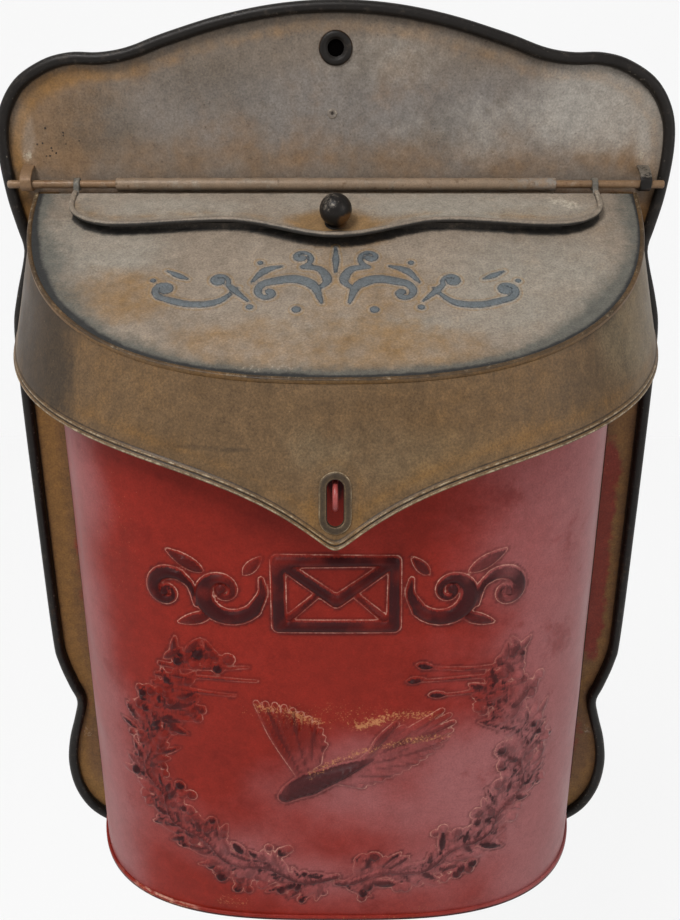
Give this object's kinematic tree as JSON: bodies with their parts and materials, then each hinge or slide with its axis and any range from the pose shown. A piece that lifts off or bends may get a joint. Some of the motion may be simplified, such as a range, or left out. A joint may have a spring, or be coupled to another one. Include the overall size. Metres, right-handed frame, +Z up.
{
  "type": "wall letter box",
  "caption": "Wall-hung letter box with a scalloped rimmed back plate, bowed body, sloping hinged lid with a flared pointed apron, and a small knobbed letter flap.",
  "frame": {"origin": "centre of the hanging hole, on the wall plane", "axes": "+X to the right seen from the front, -Y out of the wall towards the viewer, +Z up"},
  "size_m": [0.3012, 0.1261, 0.4441],
  "materials": {
    "plate_paint": "aged paint, rusted",
    "red_paint": "aged satin paint",
    "lid_paint": "worn paint",
    "apron_paint": "aged paint, rusted",
    "dark_steel": "tarnished steel",
    "worn_steel": "worn, rusted steel"
  },
  "bodies": {
    "box": {"back_plate": "plate_paint", "hanging_eyelet": "dark_steel", "hinge_clip_left": "worn_steel", "hinge_clip_right": "worn_steel", "hinge_rod": "worn_steel", "body_shell": "red_paint", "bottom_panel": "dark_steel", "hasp_staple": "red_paint"},
    "lid": {"lid_top": "lid_paint", "lid_skirt": "apron_paint"},
    "flap": {"letter_flap": "lid_paint", "flap_knob": "dark_steel", "knob_screw": "worn_steel"}
  },
  "joints": [
    {"name": "lid_hinge", "type": "hinge", "parent": "box", "child": "lid", "pos_m": [0, -0.0072, -0.0555], "axis": [-1, 0, 0], "range_deg": [0, 60]},
    {"name": "flap_hinge", "type": "hinge", "parent": "lid", "child": "flap", "pos_m": [0, -0.0072, -0.0555], "axis": [-1, 0, 0], "range_deg": [0, 38]}
  ]
}
